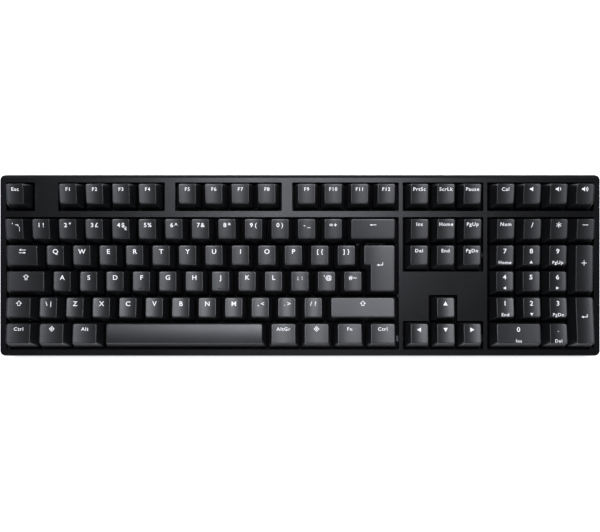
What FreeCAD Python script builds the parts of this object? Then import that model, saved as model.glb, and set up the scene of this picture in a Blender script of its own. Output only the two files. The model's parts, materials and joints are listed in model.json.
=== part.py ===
"""Full-size mechanical keyboard, ISO layout with four extra keys above the number pad.

Everything is modelled in the deck frame and tilted at the end. In the deck frame x runs to the right,
y runs from the typist towards the back, and z is square to the switch plate, with z = 0 on its top face.
The origin is the middle of the key field. Lengths are millimetres, angles are degrees.
"""
import FreeCAD, Part
import math
import os

from FreeCAD import Vector

# ---------------------------------------------------------------- driving dimensions
PITCH = 19.05  # one key unit
FIELD_UNITS = 22.5  # width of the key field in units
DECK_TILT = 5.0  # typing angle of the deck over the desk

# rows of keys: distance of the row's middle behind the middle of the key field
ROW_Y = {"F": 50.8, "N": 25.4, "Q": 6.35, "A": -12.7, "Z": -31.75, "B": -50.8}
# height of each row's keytop over the bezel, the top's lean towards the typist, and its shift to the back
TOP_HEIGHT = {"F": 8.2, "N": 8.7, "Q": 7.2, "A": 6.8, "Z": 7.8, "B": 8.3}
TOP_LEAN = {"F": 7.0, "N": 6.0, "Q": 3.0, "A": 0.0, "Z": -4.0, "B": -5.0}
TOP_SHIFT = {"F": 1.1, "N": 1.3, "Q": 1.4, "A": 1.7, "Z": 1.9, "B": 2.1}

# keycaps
CAP_GAP = 0.95  # between neighbouring caps
CAP_TOP_WIDTH = 12.6
CAP_TOP_DEPTH = 14.2
CAP_BASE_RADIUS = 1.2
CAP_TOP_RADIUS = 1.8
CAP_WALL = 1.4
CAP_ROOF = 1.5
CAP_SKIRT_Z = 6.1  # bottom edge of every cap at rest
DISH_DEPTH = 0.8
ARCH_RADIUS = 22.0  # of the space bar's top
CAVITY_RADIUS = 0.6  # corners of the hollow under a cap
BOSS_RADIUS = 2.75
BOSS_Z = 6.75
SOCKET_CROSS = (4.06, 1.26, 4.16)  # arm along y, thickness, arm along x
ENTER_UNITS = 14.375  # middle of the return key's lower half
ENTER_STEP = 0.25  # how much wider its upper half is, in units

# switches
PLATE_THICKNESS = 1.5
PLATE_HOLE = 14.0
HOUSING_BODY = 13.9
HOUSING_FLANGE = 15.6
HOUSING_TOP_Z = 6.6
CROSS_TOP_Z = 10.2
STEM_SHOULDER_Z = 6.6
BOARD_TOP_Z = -5.0
BOARD_THICKNESS = 1.6
SPRING_RADIUS = 2.1
SPRING_WIRE = 0.3
SPRING_TURNS = 6
SPRING_FLOOR_Z = -3.6
STEM_FLANGE_Z = 4.4
STEM_CROSS = (4.0, 1.2, 4.1)
STEM_SLIDER = (7.0, 5.4)
STEM_FLANGE = (8.6, 6.8)
STEM_FLANGE_THICKNESS = 0.9
POLE_RADIUS = 1.0
POLE_TIP_Z = -2.4
FLANGE_THICKNESS = 1.0  # of the housing, over the plate
CUP_ROOM = 11.4
TUBE_RADIUS = 1.65
TUBE_BORE = 1.25
TUBE_TOP_Z = 0.2
TUBE_FLOOR_Z = -7.0
BOARD_PEG_RADIUS = 1.95
BOARD_PEG_Z = -8.2
COVER_BASE = 6.9  # half width of the cover at the flange
COVER_TOP = (5.3, 4.7)  # half width and half depth of its upper face
CORNER = 0.6
CONTACT_PINS = [(-2.6, 5.0), (2.6, 5.0)]
LEAF_SIZE = (3.0, 0.3)
PIN_SIZE = (0.9, 0.3)
PIN_BELOW_BOARD = 1.4
DIODE_OFFSET = 5.5  # from a switch's middle, to the left and to the front

# stabilisers of the wide keys
STAB_SPREAD = 11.94
SPACE_STAB_SPREAD = 50.0
STAB_WIRE_RADIUS = 0.75
STAB_PIVOT_Z = 0.95
STAB_ARM = 8.9  # from the wire's pivot to the middle of the insert
STAB_LIFT = 2.0  # rise of the wire's end over its pivot at rest
STAB_BEND = 2.0  # bend radius of the wire
STAB_REACH = 2.0  # from the middle of the insert to the wire's end
INSERT_SIZE = (4.9, 5.9)
INSERT_FOOT_Z = 0.6
INSERT_SLOT = (2.2, 1.6)  # width, and half height over and under the wire's end
STAB_BOX_X = 3.3  # half width of a housing
STAB_BOX_TOP_Z = 2.4
STAB_BACK = 5.7  # from the insert's middle to the housing's back face
STAB_FRONT = 6.1  # and to its front face, where the cradle begins
CRADLE_FRONT = 10.3
CRADLE_LIP = 0.45
CRADLE_Z = (-1.4, -0.1, 1.75)  # bottom, top and top of the lip

# case
BEZEL_TOP_Z = 8.0
BEZEL_THICKNESS = 2.2
CASE_WALL = 2.2
WINDOW_MARGIN = 1.0  # from a window's edge to the key cells inside it
SIDE_BORDER = 4.9
REAR_BORDER = 5.6
FRONT_BORDER = 4.7
REAR_CHAMFER = 2.3
REAR_CHAMFER_DROP = 1.6
CASE_RADIUS = 4.0
EDGE_RADIUS = 1.2
PARTING_Z = -3.0
FRONT_DEPTH = 19.6  # from the bezel down to the underside at the front edge
FLOOR_THICKNESS = 2.4
SEAM = 0.4  # shadow gap where the two shells meet

HALF_FIELD_X = FIELD_UNITS / 2 * PITCH
HALF_FIELD_Y = ROW_Y["F"] + PITCH / 2
CASE_X = HALF_FIELD_X + WINDOW_MARGIN + SIDE_BORDER
CASE_REAR = HALF_FIELD_Y + WINDOW_MARGIN + REAR_BORDER
CASE_FRONT = -HALF_FIELD_Y - WINDOW_MARGIN - FRONT_BORDER
INNER_X = CASE_X - CASE_WALL
INNER_REAR = CASE_REAR - CASE_WALL
INNER_FRONT = CASE_FRONT + CASE_WALL
TILT_SLOPE = math.tan(math.radians(DECK_TILT))

# screws: the free columns lie between the blocks of keys, the free band between the first two rows
BAND_Y = 38.1
COLUMN_X = (73.9, 135.7)
CORNER_X = 215.5
CORNER_BACK_Y = 62.0
CORNER_FRONT_Y = -61.3
CASE_SCREWS = [(side * CORNER_X, y) for y in (CORNER_BACK_Y, CORNER_FRONT_Y) for side in (-1, 1)]
CASE_SCREWS += [(-110.0, BAND_Y), (20.0, BAND_Y), (COLUMN_X[0], -22.0), (COLUMN_X[1], 8.0)]
PLATE_SCREWS = [(-140.0, BAND_Y), (-62.0, BAND_Y), (COLUMN_X[0], BAND_Y), (COLUMN_X[1], BAND_Y)]
PLATE_SCREWS += [(COLUMN_X[0], -54.0), (COLUMN_X[1], -54.0)]
POST_RADIUS = 2.4
POST_CLEARANCE = 0.4  # round a post where it passes the plate and the board
POST_MEET_Z = -8.2  # where the posts of the two shells meet
TOWER_WALL = 0.9  # how much wider the lower tower is
SCREW_SEAT = 2.5  # from there down to the seats of the case screws
SCREW_HOLE = 1.6
SCREW_PILOT = 1.25
SCREW_SHANK = 1.2
SCREW_HEAD = 2.6
HEAD_HEIGHT = 1.6
HEAD_HOLE = 2.9
CASE_SCREW_REACH = 7.0
PLATE_SCREW_REACH = 7.0

# feet, pads and inlet
PAD_HEIGHT = 1.6
FOOT_X = 165.0
FOOT_WIDTH = 30.0
FOOT_LENGTH = 17.0
FOOT_THICKNESS = 4.6
FOOT_PIVOT_Y = 52.0
FOOT_GAP = 0.6
FOOT_SHOE = 2.2  # length of the rubber shoe along the foot
WELL_WALL = 1.8
WELL_DEPTH = FOOT_THICKNESS + 0.8
WELL_FRONT = 1.2  # gap before the folded foot
WELL_REAR = 4.2  # room behind the pivot
PIVOT_RADIUS = 1.5
PIVOT_BITE = 1.1  # how far each pin enters the well's wall
PAD_X = 168.0
PAD_LENGTH = 40.0
PADS = [(CASE_FRONT + 12.0, 10.0), (CASE_REAR - 6.6, 5.0)]  # middle and depth of each row of pads
SOCKET_X = -60.0
SOCKET_WIDTH = 8.94
SOCKET_HEIGHT = 3.26
SOCKET_DEPTH = 7.3
SOCKET_SET_BACK = 1.2  # from the case's rear face
SOCKET_SHEET = 0.3
TONGUE_SIZE = (6.6, 0.7)
INLET_SIZE = (12.4, 6.6)
CHIP_SIDE = 7.0
CHIP_LEADS = 12  # along each side


# ---------------------------------------------------------------- layout
def unit_x(units):
    return (units - FIELD_UNITS / 2) * PITCH


def run_of(row, first, count):
    """Keys of one unit side by side: (row, middle in units, width, rows spanned)."""
    return [(row, first + n, 1.0, 1) for n in range(count)]


KEYS = {
    "key_escape": run_of("F", 0.5, 1),
    "keys_f1_to_f4": run_of("F", 2.5, 4),
    "keys_f5_to_f8": run_of("F", 7.0, 4),
    "keys_f9_to_f12": run_of("F", 11.5, 4),
    "keys_print_scroll_pause": run_of("F", 15.75, 3),
    "keys_media": run_of("F", 19.0, 4),
    "keys_number_row": run_of("N", 0.5, 13),
    "key_backspace": [("N", 14.0, 2.0, 1)],
    "key_tab": [("Q", 0.75, 1.5, 1)],
    "keys_upper_letters": run_of("Q", 2.0, 12),
    "key_enter": [("Q", ENTER_UNITS, 1.25, 2)],
    "key_caps_lock": [("A", 0.875, 1.75, 1)],
    "keys_home_letters": run_of("A", 2.25, 12),
    "key_shift_left": [("Z", 0.625, 1.25, 1)],
    "keys_lower_letters": run_of("Z", 1.75, 11),
    "key_shift_right": [("Z", 13.625, 2.75, 1)],
    "key_control_left": [("B", 0.625, 1.25, 1)],
    "key_system_left": [("B", 1.875, 1.25, 1)],
    "key_alt_left": [("B", 3.125, 1.25, 1)],
    "key_space": [("B", 6.875, 6.25, 1)],
    "key_alt_right": [("B", 10.625, 1.25, 1)],
    "key_system_right": [("B", 11.875, 1.25, 1)],
    "key_function": [("B", 13.125, 1.25, 1)],
    "key_control_right": [("B", 14.375, 1.25, 1)],
    "keys_navigation": run_of("N", 15.75, 3) + run_of("Q", 15.75, 3),
    "key_arrow_up": run_of("Z", 16.75, 1),
    "key_arrow_left": run_of("B", 15.75, 1),
    "key_arrow_down": run_of("B", 16.75, 1),
    "key_arrow_right": run_of("B", 17.75, 1),
    "keys_pad_operators": run_of("N", 19.0, 4),
    "keys_pad_digits": run_of("Q", 19.0, 3) + run_of("A", 19.0, 3) + run_of("Z", 19.0, 3)
    + run_of("B", 21.0, 1),
    "key_pad_zero": [("B", 19.5, 2.0, 1)],
    "key_pad_plus": [("Q", 22.0, 1.0, 2)],
    "key_pad_enter": [("Z", 22.0, 1.0, 2)],
}
BELOW = {"Q": "A", "Z": "B"}  # the lower of the two rows that a tall key spans

# windows in the bezel: left and right in units, lower and upper row
WINDOWS = [
    (0, 1, "F", "F"), (2, 6, "F", "F"), (6.5, 10.5, "F", "F"), (11, 15, "F", "F"),
    (15.25, 18.25, "F", "F"), (18.5, 22.5, "F", "F"), (0, 15, "B", "N"),
    (15.25, 18.25, "Q", "N"), (15.25, 18.25, "B", "B"), (16.25, 17.25, "B", "Z"),
    (18.5, 22.5, "B", "N"),
]  # fmt: skip


def key_centre(key):
    row, units, width, rows = key
    y = ROW_Y[row]
    if rows == 2:
        y = (ROW_Y[row] + ROW_Y[BELOW[row]]) / 2
    return unit_x(units), y


def stab_posts(key):
    """Middles of the two inserts of a stabilised key, and whether they lie one behind the other."""
    row, units, width, rows = key
    x, y = key_centre(key)
    if rows == 2:
        return [(x, y - STAB_SPREAD), (x, y + STAB_SPREAD)], True
    if width < 2:
        return [], False
    spread = SPACE_STAB_SPREAD if width > 6 else STAB_SPREAD
    return [(x - spread, y), (x + spread, y)], False


ALL_KEYS = [key for keys in KEYS.values() for key in keys]
SWITCHES = [key_centre(key) for key in ALL_KEYS]


# ---------------------------------------------------------------- shape helpers
def box(x0, x1, y0, y1, z0, z1):
    return Part.makeBox(x1 - x0, y1 - y0, z1 - z0, Vector(x0, y0, z0))


def block(x, y, width, depth, z0, z1):
    return box(x - width / 2, x + width / 2, y - depth / 2, y + depth / 2, z0, z1)


def rod(x, y, radius, z0, z1):
    return Part.makeCylinder(radius, z1 - z0, Vector(x, y, z0))


def outline(points, radius, z):
    """Closed wire through the corner points at height z, every corner rounded by an arc."""
    corners = [Vector(px, py, z) for px, py in points]
    starts, mids, ends = [], [], []
    for n, corner in enumerate(corners):
        back = (corners[n - 1] - corner).normalize()
        ahead = (corners[(n + 1) % len(corners)] - corner).normalize()
        bisector = (back + ahead).normalize()
        half_turn = math.acos(max(-1.0, min(1.0, back.dot(bisector))))
        reach = radius / math.tan(half_turn)
        to_centre = radius / math.sin(half_turn)
        starts.append(corner + back * reach)
        mids.append(corner + bisector * (to_centre - radius))
        ends.append(corner + ahead * reach)
    edges = []
    for n in range(len(corners)):
        edges.append(Part.Arc(starts[n], mids[n], ends[n]).toShape())
        edges.append(Part.LineSegment(ends[n], starts[(n + 1) % len(corners)]).toShape())
    return Part.Wire(edges)


def rectangle(x0, x1, y0, y1):
    return [(x0, y0), (x1, y0), (x1, y1), (x0, y1)]


def prism(points, radius, z0, z1):
    return Part.Face(outline(points, radius, z0)).extrude(Vector(0, 0, z1 - z0))


def tapered(lower, upper):
    """Solid between two wires with the same number of edges."""
    return Part.makeLoft([lower, upper], True, True)


def leaned(wire, lean, y, z):
    """The wire turned about the line along x at height z, so that a positive lean lifts its back edge."""
    turned = wire.copy()
    turned.rotate(Vector(0, y, z), Vector(1, 0, 0), lean)
    return turned


def move(shape, x, y, z=0.0):
    return shape.translated(Vector(x, y, z))


def quarter_turn(shape):
    turned = shape.copy()
    turned.rotate(Vector(0, 0, 0), Vector(0, 0, 1), 90)
    return turned


# ---------------------------------------------------------------- keycaps
def cap_footprint(key):
    """Corner points of the cap's bottom edge, relative to the key's middle."""
    row, units, width, rows = key
    half_x = (width * PITCH - CAP_GAP) / 2
    half_y = (rows * PITCH - CAP_GAP) / 2
    if (units, rows) != (ENTER_UNITS, 2):
        return rectangle(-half_x, half_x, -half_y, half_y)
    step = ENTER_STEP * PITCH
    notch_y = CAP_GAP / 2
    return [(-half_x, -half_y), (half_x, -half_y), (half_x, half_y),
            (-half_x - step, half_y), (-half_x - step, notch_y), (-half_x, notch_y)]  # fmt: skip


def shrunk(points, side, front, rear):
    """The footprint drawn in by each side's own amount, a notch's inner edge with the front."""
    xs = [px for px, py in points]
    ys = [py for px, py in points]
    middle = (min(xs) + max(xs)) / 2
    drawn = []
    for px, py in points:
        new_x = px - side if px > middle else px + side
        new_y = py - rear if py == max(ys) else py + front
        drawn.append((new_x, new_y))
    return drawn


def cap_heights(key):
    """Top height over the plate, lean and shift of a key's top, from its row or pair of rows."""
    row, units, width, rows = key
    names = [row, BELOW[row]] if rows == 2 else [row]
    height = BEZEL_TOP_Z + sum(TOP_HEIGHT[n] for n in names) / len(names)
    lean = sum(TOP_LEAN[n] for n in names) / len(names)
    shift = sum(TOP_SHIFT[n] for n in names) / len(names)
    return height, lean, shift


def cap_body(key):
    """The cap without its posts: tapered walls under a dished or, on the space bar, arched top."""
    row, units, width, rows = key
    height, lean, shift = cap_heights(key)
    base = cap_footprint(key)
    side = (PITCH - CAP_GAP - CAP_TOP_WIDTH) / 2
    slack = (PITCH - CAP_GAP - CAP_TOP_DEPTH) / 2
    top = shrunk(base, side, slack + shift, slack - shift)
    edge_z = height + DISH_DEPTH
    shell = tapered(outline(base, CAP_BASE_RADIUS, CAP_SKIRT_Z),
                    leaned(outline(top, CAP_TOP_RADIUS, edge_z), lean, shift, edge_z))  # fmt: skip
    if width > 6:
        shell = shell.common(arch(height + DISH_DEPTH / 2, lean, shift, width))
    else:
        shell = shell.cut(dish(height, lean, shift, width))
    inner_base = shrunk(base, CAP_WALL, CAP_WALL, CAP_WALL)
    inner_top = shrunk(base, side + CAP_WALL, slack + shift + CAP_WALL, slack - shift + CAP_WALL)
    roof_z = height - CAP_ROOF
    hollow = tapered(outline(inner_base, CAVITY_RADIUS, CAP_SKIRT_Z),
                     leaned(outline(inner_top, CAVITY_RADIUS, roof_z), lean, shift, roof_z))  # fmt: skip
    return shell.cut(hollow), roof_z


def dish(height, lean, shift, width):
    """Cylinder along y that hollows the top; a wide key has a wider, equally deep dish."""
    half = (width * PITCH - CAP_GAP - (PITCH - CAP_GAP - CAP_TOP_WIDTH)) / 2
    radius = (half * half + DISH_DEPTH * DISH_DEPTH) / (2 * DISH_DEPTH)
    length = 4 * PITCH
    cutter = Part.makeCylinder(radius, length, Vector(0, -length / 2, height + radius), Vector(0, 1, 0))
    return leaned(cutter, lean, shift, height)


def arch(height, lean, shift, width):
    """Cylinder along x that rounds the space bar's top."""
    length = width * PITCH
    start = Vector(-length / 2, shift, height - ARCH_RADIUS)
    keeper = Part.makeCylinder(ARCH_RADIUS, length, start, Vector(1, 0, 0))
    return leaned(keeper, lean, shift, height)


def cross(size, z0, z1):
    """Plus sign: the arm along y is a little thinner than the arm along x."""
    arm_y, bar, arm_x = size
    return block(0, 0, arm_x, bar, z0, z1).fuse(block(0, 0, bar - 0.1, arm_y, z0, z1))


def cap_posts(key, roof_z):
    """Round posts under the roof, each with a cross-shaped socket for a stem."""
    centre_x, centre_y = key_centre(key)
    places = [(0.0, 0.0)] + [(x - centre_x, y - centre_y) for x, y in stab_posts(key)[0]]
    socket = cross(SOCKET_CROSS, BOSS_Z, CROSS_TOP_Z + 0.3)
    posts, sockets = [], []
    for x, y in places:
        posts.append(rod(x, y, BOSS_RADIUS, BOSS_Z, roof_z + 0.8))
        sockets.append(move(socket, x, y))
    return posts, sockets


def stem():
    """Sliding stem: cross, slider block, wider flange under the housing's roof and guide pole."""
    shape = cross(STEM_CROSS, STEM_SHOULDER_Z, CROSS_TOP_Z)
    shape = shape.fuse(block(0, 0, *STEM_SLIDER, STEM_FLANGE_Z, STEM_SHOULDER_Z))
    shape = shape.fuse(block(0, 0, *STEM_FLANGE, STEM_FLANGE_Z, STEM_FLANGE_Z + STEM_FLANGE_THICKNESS))
    shape = shape.fuse(rod(0, 0, POLE_RADIUS, POLE_TIP_Z, STEM_FLANGE_Z))
    return shape.removeSplitter()


def stab_insert(turned):
    """Sliding insert of a stabiliser, slotted for the wire's end along y, or along x when turned."""
    slot_z = STAB_PIVOT_Z + STAB_LIFT
    slot_width, slot_half = INSERT_SLOT
    slider = block(0, 0, *INSERT_SIZE, INSERT_FOOT_Z, STEM_SHOULDER_Z)
    slider = slider.cut(block(0, 0, slot_width, INSERT_SIZE[1] + 1, slot_z - slot_half, slot_z + slot_half))
    if turned:
        slider = quarter_turn(slider)
    return slider.fuse(cross(STEM_CROSS, STEM_SHOULDER_Z, CROSS_TOP_Z)).removeSplitter()


def key_solids(key, cache):
    """Cap, stem and inserts of one key, each its own solid, in place."""
    row, units, width, rows = key
    kind = (row, width, rows, units == ENTER_UNITS)
    if kind not in cache:
        body, roof_z = cap_body(key)
        posts, sockets = cap_posts(key, roof_z)
        cache[kind] = body.fuse(posts).cut(sockets)
    x, y = key_centre(key)
    solids = [move(cache[kind], x, y), move(cache["stem"], x, y)]
    places, tall = stab_posts(key)
    insert = cache["insert turned"] if tall else cache["insert"]
    return solids + [move(insert, px, py) for px, py in places]


# ---------------------------------------------------------------- switches
def lower_housing():
    """Cup that clips into the plate and stands on the board, with a tube that guides the stem's pole."""
    shape = block(0, 0, HOUSING_BODY, HOUSING_BODY, BOARD_TOP_Z, 0)
    shape = shape.fuse(block(0, 0, HOUSING_FLANGE, HOUSING_FLANGE, 0, FLANGE_THICKNESS))
    shape = shape.cut(block(0, 0, CUP_ROOM, CUP_ROOM, SPRING_FLOOR_Z, FLANGE_THICKNESS))
    shape = shape.fuse(rod(0, 0, TUBE_RADIUS, SPRING_FLOOR_Z, TUBE_TOP_Z))
    shape = shape.fuse(rod(0, 0, BOARD_PEG_RADIUS, BOARD_PEG_Z, BOARD_TOP_Z))
    shape = shape.cut(rod(0, 0, TUBE_BORE, TUBE_FLOOR_Z, TUBE_TOP_Z))
    for x, y in CONTACT_PINS:
        shape = shape.cut(block(x, y, 1.0, 0.5, BOARD_TOP_Z, SPRING_FLOOR_Z))
    return shape.removeSplitter()


def upper_housing():
    """Tapered cover with the opening that the stem slides in."""
    top_x, top_y = COVER_TOP
    lower = outline(rectangle(-COVER_BASE, COVER_BASE, -COVER_BASE, COVER_BASE), CORNER, FLANGE_THICKNESS)
    upper = outline(rectangle(-top_x, top_x, -top_y, top_y), CORNER, HOUSING_TOP_Z)
    roof_z = STEM_FLANGE_Z + STEM_FLANGE_THICKNESS + 0.1
    room_x, room_y = STEM_FLANGE[0] + 0.6, STEM_FLANGE[1] + 0.8
    hole_x, hole_y = STEM_SLIDER[0] + 0.4, STEM_SLIDER[1] + 0.4
    shape = tapered(lower, upper).cut(block(0, 0, room_x, room_y, FLANGE_THICKNESS, roof_z))
    return shape.cut(block(0, 0, hole_x, hole_y, roof_z, HOUSING_TOP_Z))


def spring():
    """Square-wire coil round the guide tube, from the housing's floor to the stem."""
    slack = 0.05  # between each end and what it presses on
    height = STEM_FLANGE_Z - SPRING_FLOOR_Z - SPRING_WIRE - 2 * slack
    helix = Part.makeHelix(height / SPRING_TURNS, height, SPRING_RADIUS)
    half = SPRING_WIRE / 2
    near, far = SPRING_RADIUS - half, SPRING_RADIUS + half
    section = Part.makePolygon([Vector(near, 0, -half), Vector(far, 0, -half), Vector(far, 0, half),
                                Vector(near, 0, half), Vector(near, 0, -half)])  # fmt: skip
    coil = Part.Wire(helix.Edges).makePipeShell([section], True, True)
    return move(coil, 0, 0, SPRING_FLOOR_Z + half + slack)


def contact_leaves():
    """The fixed and the moving leaf, each a strip inside the cup with a pin through the board."""
    leaves = []
    for x, y in CONTACT_PINS:
        strip = block(x, y, *LEAF_SIZE, SPRING_FLOOR_Z, 0.8)
        pin = block(x, y, *PIN_SIZE, BOARD_TOP_Z - BOARD_THICKNESS - PIN_BELOW_BOARD, SPRING_FLOOR_Z)
        leaves.append(strip.fuse(pin).removeSplitter())
    return leaves


def at_every_switch(shape):
    return [move(shape, x, y) for x, y in SWITCHES]


# ---------------------------------------------------------------- stabilisers
def stab_housing():
    """Box round one insert, with a cradle for the wire that reaches down into the plate along its front."""
    side, top = STAB_BOX_X, STAB_BOX_TOP_Z
    low, shelf, lip = CRADLE_Z
    shape = box(-side, side, -STAB_FRONT, STAB_BACK, BOARD_TOP_Z + 0.3, top)
    shape = shape.fuse(box(-side, side, -CRADLE_FRONT, -STAB_FRONT, low, shelf))
    shape = shape.fuse(box(-side, side, -CRADLE_FRONT, -CRADLE_FRONT + CRADLE_LIP, low, lip))
    shape = shape.cut(block(0, 0, INSERT_SIZE[0] + 0.6, INSERT_SIZE[1] + 0.6, SPRING_FLOOR_Z, top))
    shape = shape.cut(box(-2.6, 2.6, -8.3, -STAB_FRONT, -0.9, 0))  # room for the wire's bend
    wire_slot = box(-1.15, 1.15, -STAB_FRONT, -INSERT_SIZE[1] / 2, low + 0.05, top)
    return shape.cut(wire_slot).removeSplitter()


def stab_wire(spread):
    """U-shaped wire in the frame of a key's middle: bar along x, arms to the back, ends raised."""
    bend = STAB_BEND
    reach = STAB_ARM + STAB_REACH
    swing = math.atan2(STAB_LIFT, STAB_ARM)
    corner = bend * (1 - math.sqrt(0.5))
    points = [Vector(-spread, reach, 0), Vector(-spread, bend, 0), Vector(-spread + corner, corner, 0),
              Vector(-spread + bend, 0, 0)]  # fmt: skip
    mirrored = [Vector(-p.x, p.y, 0) for p in reversed(points)]
    edges = [Part.LineSegment(points[0], points[1]).toShape(),
             Part.Arc(points[1], points[2], points[3]).toShape(),
             Part.LineSegment(points[3], mirrored[0]).toShape(),
             Part.Arc(mirrored[0], mirrored[1], mirrored[2]).toShape(),
             Part.LineSegment(mirrored[2], mirrored[3]).toShape()]  # fmt: skip
    section = Part.Wire([Part.makeCircle(STAB_WIRE_RADIUS, points[0], Vector(0, 1, 0))])
    wire = Part.Wire(edges).makePipeShell([section], True, False)
    wire.rotate(Vector(0, 0, 0), Vector(1, 0, 0), math.degrees(swing))
    return move(wire, 0, -STAB_ARM, STAB_PIVOT_Z)


def stabilised():
    """(name, key) of each key with a wire."""
    for node, keys in KEYS.items():
        for key in keys:
            if stab_posts(key)[0]:
                yield node.replace("key_", ""), key


def stab_parts(key):
    """The two housings and the wire of one key, in place. A tall key's set is turned to its right."""
    places, tall = stab_posts(key)
    x, y = key_centre(key)
    half_gap = abs(places[1][0] - places[0][0] + places[1][1] - places[0][1]) / 2
    wire = stab_wire(half_gap)
    housing = stab_housing()
    if tall:
        wire, housing = quarter_turn(wire), quarter_turn(housing)
    return [move(housing, px, py) for px, py in places], move(wire, x, y)


def stab_cutouts(z0, z1):
    """Plate openings for the stabiliser housings."""
    cuts = []
    for _, key in stabilised():
        places, tall = stab_posts(key)
        side = STAB_BOX_X + 0.1
        opening = box(-side, side, -CRADLE_FRONT - 0.1, STAB_BACK + 0.1, z0, z1)
        if tall:
            opening = quarter_turn(opening)
        cuts += [move(opening, px, py) for px, py in places]
    return cuts


# ---------------------------------------------------------------- plate and board
def switch_plate():
    edge = 0.5
    z0 = -PLATE_THICKNESS
    points = rectangle(-INNER_X + edge, INNER_X - edge, INNER_FRONT + edge, INNER_REAR - edge)
    plate = prism(points, 2.0, z0, 0)
    cuts = [block(x, y, PLATE_HOLE, PLATE_HOLE, z0, 0) for x, y in SWITCHES]
    cuts += stab_cutouts(z0, 0)
    cuts += [rod(x, y, POST_RADIUS + POST_CLEARANCE, z0, 0) for x, y in CASE_SCREWS]
    cuts += [rod(x, y, SCREW_HOLE + 0.1, z0, 0) for x, y in PLATE_SCREWS]
    return plate.cut(cuts)


def circuit_board():
    edge = 1.5
    z0, z1 = BOARD_TOP_Z - BOARD_THICKNESS, BOARD_TOP_Z
    points = rectangle(-INNER_X + edge, INNER_X - edge, INNER_FRONT + edge, INNER_REAR - edge)
    board = prism(points, 2.0, z0, z1)
    cuts = [rod(x, y, BOARD_PEG_RADIUS + 0.05, z0, z1) for x, y in SWITCHES]
    pin_x, pin_y = PIN_SIZE[0] + 0.4, PIN_SIZE[1] + 0.5
    cuts += [block(x + px, y + py, pin_x, pin_y, z0, z1) for x, y in SWITCHES for px, py in CONTACT_PINS]
    cuts += [rod(x, y, POST_RADIUS + POST_CLEARANCE, z0, z1) for x, y in CASE_SCREWS + PLATE_SCREWS]
    return board.cut(cuts)


def diode():
    """Surface-mount diode with its two end caps, under the board."""
    top_z = BOARD_TOP_Z - BOARD_THICKNESS
    body = block(0, 0, 2.6, 1.6, top_z - 1.15, top_z - 0.15)
    ends = [block(x, 0, 0.7, 0.9, top_z - 0.7, top_z) for x in (-1.4, 1.4)]
    return body.fuse(ends)


def controller_chip():
    """Square controller with a row of leads along each side, under the board."""
    top_z = BOARD_TOP_Z - BOARD_THICKNESS
    x, y = SOCKET_X + 22.0, BAND_Y
    chip = block(x, y, CHIP_SIDE, CHIP_SIDE, top_z - 1.5, top_z - 0.1)
    lead_pitch, lead_width, lead_length = 0.5, 0.22, 1.2
    out = CHIP_SIDE / 2 + 0.5
    leads = []
    for n in range(CHIP_LEADS):
        along = (n - (CHIP_LEADS - 1) / 2) * lead_pitch
        for side in (-1, 1):
            leads.append(block(x + along, y + side * out, lead_width, lead_length, top_z - 0.3, top_z))
            leads.append(block(x + side * out, y + along, lead_length, lead_width, top_z - 0.3, top_z))
    return chip.fuse(leads)


def usb_socket():
    """Inlet under the board's back edge: a drawn metal shell, and the tongue inside it."""
    top_z = BOARD_TOP_Z - BOARD_THICKNESS
    mouth_y = CASE_REAR - SOCKET_SET_BACK
    middle_z = top_z - SOCKET_HEIGHT / 2

    def stadium(width, height, y0, y1):
        radius = height / 2 - 0.001
        points = rectangle(-width / 2, width / 2, -height / 2, height / 2)
        solid = prism(points, radius, 0, y1 - y0)
        solid.rotate(Vector(0, 0, 0), Vector(1, 0, 0), -90)
        return move(solid, SOCKET_X, y0, middle_z)

    sheet = SOCKET_SHEET
    back_y = mouth_y - SOCKET_DEPTH
    shell = stadium(SOCKET_WIDTH, SOCKET_HEIGHT, back_y, mouth_y)
    room = stadium(SOCKET_WIDTH - 2 * sheet, SOCKET_HEIGHT - 2 * sheet, back_y + 2 * sheet, mouth_y)
    shell = shell.cut(room)
    half_x, half_z = TONGUE_SIZE[0] / 2, TONGUE_SIZE[1] / 2
    tongue = box(SOCKET_X - half_x, SOCKET_X + half_x, back_y + 2 * sheet, mouth_y - 2 * sheet,
                 middle_z - half_z, middle_z + half_z)  # fmt: skip
    return [shell, tongue]


# ---------------------------------------------------------------- case
def underside_z(y, depth=0.0):
    """Height of the underside at y, or of a surface parallel to it and depth above it."""
    return BEZEL_TOP_Z - FRONT_DEPTH - (y - CASE_FRONT) * TILT_SLOPE + depth


def slab(x0, x1, y0, y1, depth, height):
    """Solid between two planes parallel to the underside, depth and height above it."""
    corners = [Vector(x0, y0, underside_z(y0, depth)), Vector(x0, y1, underside_z(y1, depth)),
               Vector(x0, y1, underside_z(y1, height)), Vector(x0, y0, underside_z(y0, height))]  # fmt: skip
    face = Part.Face(Part.makePolygon(corners + corners[:1]))
    return face.extrude(Vector(x1 - x0, 0, 0))


def case_blank(z0, z1, inset=0.0):
    points = rectangle(-CASE_X + inset, CASE_X - inset, CASE_FRONT + inset, CASE_REAR - inset)
    return prism(points, max(CASE_RADIUS - inset, 1.0), z0, z1)


def window(left, right, lower, upper, z0, z1):
    half = PITCH / 2 + WINDOW_MARGIN
    x0, x1 = unit_x(left) - WINDOW_MARGIN, unit_x(right) + WINDOW_MARGIN
    return prism(rectangle(x0, x1, ROW_Y[lower] - half, ROW_Y[upper] + half), 0.8, z0, z1)


def rounded_top(shell, radius):
    """Rounds the outer edge of the bezel, but not the back edge that is chamfered."""
    edges = []
    for edge in shell.Edges:
        bounds = edge.BoundBox
        on_top = bounds.ZMin > BEZEL_TOP_Z - 0.01
        at_rim = bounds.XMax > CASE_X - 5 or bounds.XMin < -CASE_X + 5
        if on_top and (at_rim or bounds.YMax < CASE_FRONT + 5) and bounds.YMin < CASE_REAR - 5:
            edges.append(edge)
    return shell.makeFillet(radius, edges)


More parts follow.
